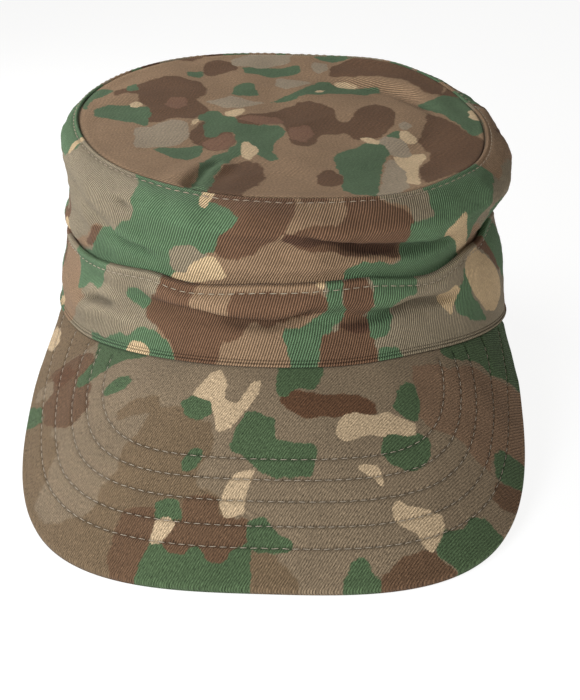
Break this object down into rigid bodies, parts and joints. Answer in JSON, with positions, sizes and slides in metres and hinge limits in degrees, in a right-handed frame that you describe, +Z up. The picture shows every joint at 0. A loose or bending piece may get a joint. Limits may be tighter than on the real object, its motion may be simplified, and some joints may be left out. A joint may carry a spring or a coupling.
{
  "type": "military cap",
  "caption": "Soft camouflage field cap with a flat oval top, a turned-up band and a stiff stitched peak, open below for the head.",
  "frame": {"origin": "middle of the bottom of the cap's box, on the surface that the cap stands on", "axes": "+Z up, -Y towards the front of the peak, +X towards the wearer's left"},
  "size_m": [0.188, 0.255, 0.1112],
  "materials": {
    "crown_top": "matt printed cotton twill",
    "crown_side": "matt printed cotton twill",
    "band": "matt printed cotton twill",
    "peak": "matt printed cotton twill"
  },
  "bodies": {
    "root": {"crown_top": "crown_top", "crown_side": "crown_side", "band": "band", "peak": "peak"}
  },
  "joints": []
}
